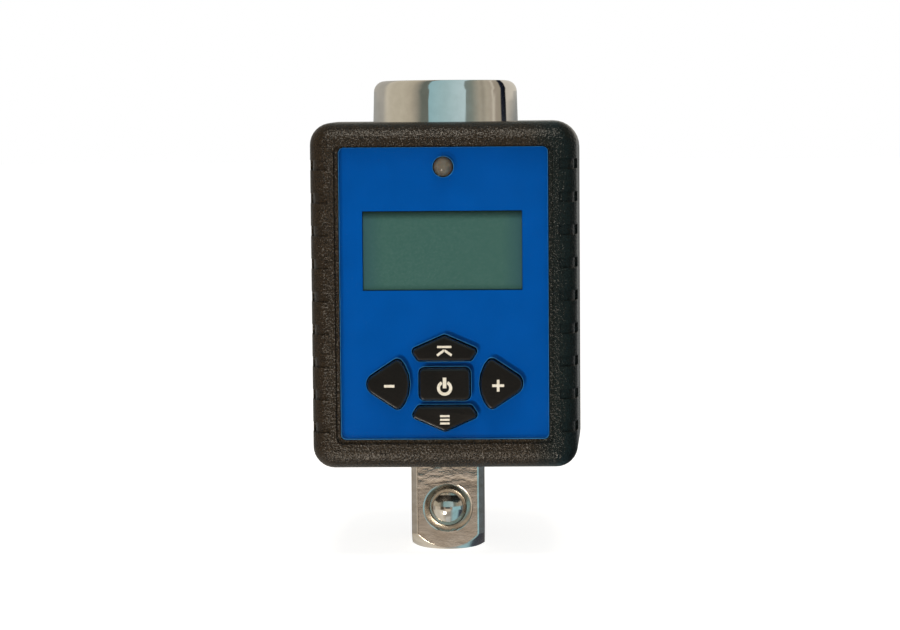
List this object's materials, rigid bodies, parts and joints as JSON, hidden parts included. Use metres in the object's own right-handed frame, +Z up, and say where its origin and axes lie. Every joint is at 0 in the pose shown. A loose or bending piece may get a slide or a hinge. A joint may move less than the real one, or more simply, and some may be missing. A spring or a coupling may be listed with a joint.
{
  "type": "digital torque adapter",
  "caption": "Digital torque adapter: square-drive torsion shaft in a grooved plastic housing with a display, keys and a lamp, for use between a wrench and a socket.",
  "frame": {"origin": "centre of the flat tip of the square drive", "axes": "+Z up the shaft axis towards the square socket, -Y out of the display face, +X to the right of someone who reads the display"},
  "size_m": [0.0466, 0.0476, 0.0817],
  "materials": {
    "shaft_steel": "satin plated",
    "ball_steel": "polished",
    "spring_steel": "drawn wire",
    "screw_steel": "zinc plated",
    "housing_plastic": "spark-eroded texture",
    "face_clear": "gloss",
    "face_blue": "printed film",
    "lcd_glass": "gloss",
    "frame_plastic": "moulded",
    "strip_rubber": "matte",
    "lamp_plastic": "frosted",
    "key_plastic": "satin",
    "mat_rubber": "matte",
    "board_laminate": "solder mask",
    "chip_plastic": "moulded",
    "gauge_film": "film",
    "lead_red": "insulated",
    "lead_black": "insulated",
    "cell_jacket": "shrink jacket",
    "contact_nickel": "nickel plated"
  },
  "bodies": {
    "adapter": {"torque_shaft": "shaft_steel", "detent_spring": "spring_steel", "front_cover": "housing_plastic", "rear_cover": "housing_plastic", "housing_screws": "screw_steel", "face_lens": "face_clear", "face_print": "face_blue", "lcd_module": "lcd_glass", "lcd_frame": "frame_plastic", "lcd_contact_strips": "strip_rubber", "warning_lamp": "lamp_plastic", "keypad_mat": "mat_rubber", "circuit_board": "board_laminate", "board_components": "chip_plastic", "board_screws": "screw_steel", "buzzer": "chip_plastic", "strain_gauges": "gauge_film", "gauge_leads": "lead_red", "battery_cells": "cell_jacket", "contact_plates": "contact_nickel", "contact_springs": "contact_nickel", "battery_leads": "lead_black"},
    "ball": {"detent_ball": "ball_steel"},
    "power_key": {"key_power": "key_plastic"},
    "plus_key": {"key_plus": "key_plastic"},
    "minus_key": {"key_minus": "key_plastic"},
    "peak_key": {"key_peak": "key_plastic"},
    "mode_key": {"key_mode": "key_plastic"},
    "cover": {"battery_cover": "housing_plastic"},
    "cover_screw": {"battery_cover_screw": "screw_steel"}
  },
  "joints": [
    {"name": "ball_press", "type": "slide", "parent": "adapter", "child": "ball", "axis": [0, 1, 0], "range_m": [0, 0.0013], "stiffness_N_per_m": 6000, "springref_m": -0.001, "deforming": ["detent_spring"]},
    {"name": "power_press", "type": "slide", "parent": "adapter", "child": "power_key", "axis": [0, 1, 0], "range_m": [0, 0.0008], "stiffness_N_per_m": 1500, "springref_m": -0.0002},
    {"name": "plus_press", "type": "slide", "parent": "adapter", "child": "plus_key", "axis": [0, 1, 0], "range_m": [0, 0.0008], "stiffness_N_per_m": 1500, "springref_m": -0.0002},
    {"name": "minus_press", "type": "slide", "parent": "adapter", "child": "minus_key", "axis": [0, 1, 0], "range_m": [0, 0.0008], "stiffness_N_per_m": 1500, "springref_m": -0.0002},
    {"name": "peak_press", "type": "slide", "parent": "adapter", "child": "peak_key", "axis": [0, 1, 0], "range_m": [0, 0.0008], "stiffness_N_per_m": 1500, "springref_m": -0.0002},
    {"name": "mode_press", "type": "slide", "parent": "adapter", "child": "mode_key", "axis": [0, 1, 0], "range_m": [0, 0.0008], "stiffness_N_per_m": 1500, "springref_m": -0.0002},
    {"name": "cover_off", "type": "slide", "parent": "adapter", "child": "cover", "axis": [0, 1, 0], "range_m": [0, 0.025]},
    {"name": "cover_screw_turn", "type": "hinge", "parent": "cover", "child": "cover_screw", "pos_m": [0, 0.0268, 0.0442], "axis": [0, 1, 0], "continuous": true}
  ]
}
